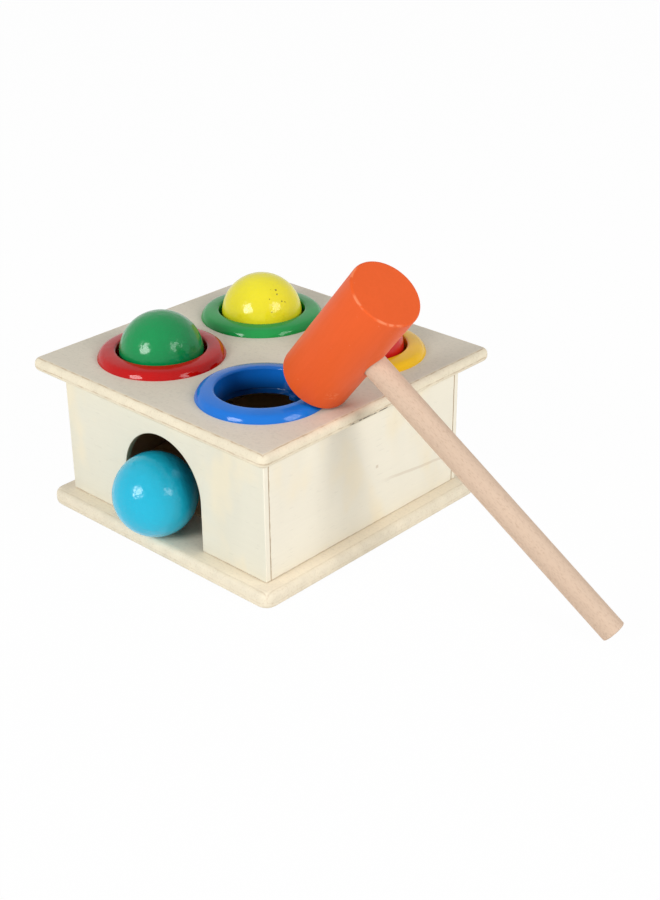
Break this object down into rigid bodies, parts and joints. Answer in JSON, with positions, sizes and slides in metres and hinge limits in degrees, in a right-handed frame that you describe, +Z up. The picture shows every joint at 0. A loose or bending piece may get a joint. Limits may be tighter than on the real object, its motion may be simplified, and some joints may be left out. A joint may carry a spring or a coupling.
{
  "type": "ball pounding toy",
  "caption": "Square wooden box toy: balls sit in ringed holes in the lid, are hammered through and roll out of an arch in the front, with a mallet leaning on the box.",
  "frame": {"origin": "centre of the base board's underside, on the surface the toy stands on", "axes": "+Z up; the wall with the arch faces -Y; the mallet leans on the +X side"},
  "size_m": [0.2255, 0.1339, 0.1205],
  "materials": {
    "base_wood": "fine sanded pale wood",
    "lid_wood": "fine sanded greyish wood",
    "wall_ply": "fine sanded thin plywood",
    "ring_red": "glossy",
    "ring_green": "glossy",
    "ring_yellow": "glossy",
    "ring_blue": "glossy",
    "ball_green": "gloss paint",
    "ball_yellow": "gloss paint",
    "ball_red": "gloss paint",
    "ball_blue": "gloss paint",
    "head_paint": "satin paint",
    "handle_beech": "bare sanded beech"
  },
  "bodies": {
    "box": {"base_board": "base_wood", "top_board": "lid_wood", "front_wall": "wall_ply", "back_wall": "wall_ply", "left_wall": "wall_ply", "right_wall": "wall_ply", "ring_red": "ring_red", "ring_green": "ring_green", "ring_yellow": "ring_yellow", "ring_blue": "ring_blue", "catch_red": "ring_red", "catch_green": "ring_green", "catch_yellow": "ring_yellow", "catch_blue": "ring_blue", "ramp_board": "wall_ply", "ramp_batten": "base_wood", "guide_left": "base_wood", "guide_right": "base_wood"},
    "green_ball": {"ball_green": "ball_green"},
    "yellow_ball": {"ball_yellow": "ball_yellow"},
    "red_ball": {"ball_red": "ball_red"},
    "blue_ball": {"ball_blue": "ball_blue"},
    "mallet": {"hammer_head": "head_paint", "hammer_handle": "handle_beech"}
  },
  "joints": [
    {"name": "green_ball_drop", "type": "slide", "parent": "box", "child": "green_ball", "axis": [0, 0, -1], "range_m": [-0.03, 0.0394], "deforming": ["catch_red"]},
    {"name": "yellow_ball_drop", "type": "slide", "parent": "box", "child": "yellow_ball", "axis": [0, 0, -1], "range_m": [-0.03, 0.0337], "deforming": ["catch_green"]},
    {"name": "red_ball_drop", "type": "slide", "parent": "box", "child": "red_ball", "axis": [0, 0, -1], "range_m": [-0.03, 0.0337], "deforming": ["catch_yellow"]},
    {"name": "blue_ball_roll", "type": "slide", "parent": "box", "child": "blue_ball", "axis": [0, -1, 0], "range_m": [-0.003, 0.045]},
    {"name": "mallet_lift", "type": "slide", "parent": "box", "child": "mallet", "axis": [0, 0, 1], "range_m": [0, 0.12]}
  ]
}
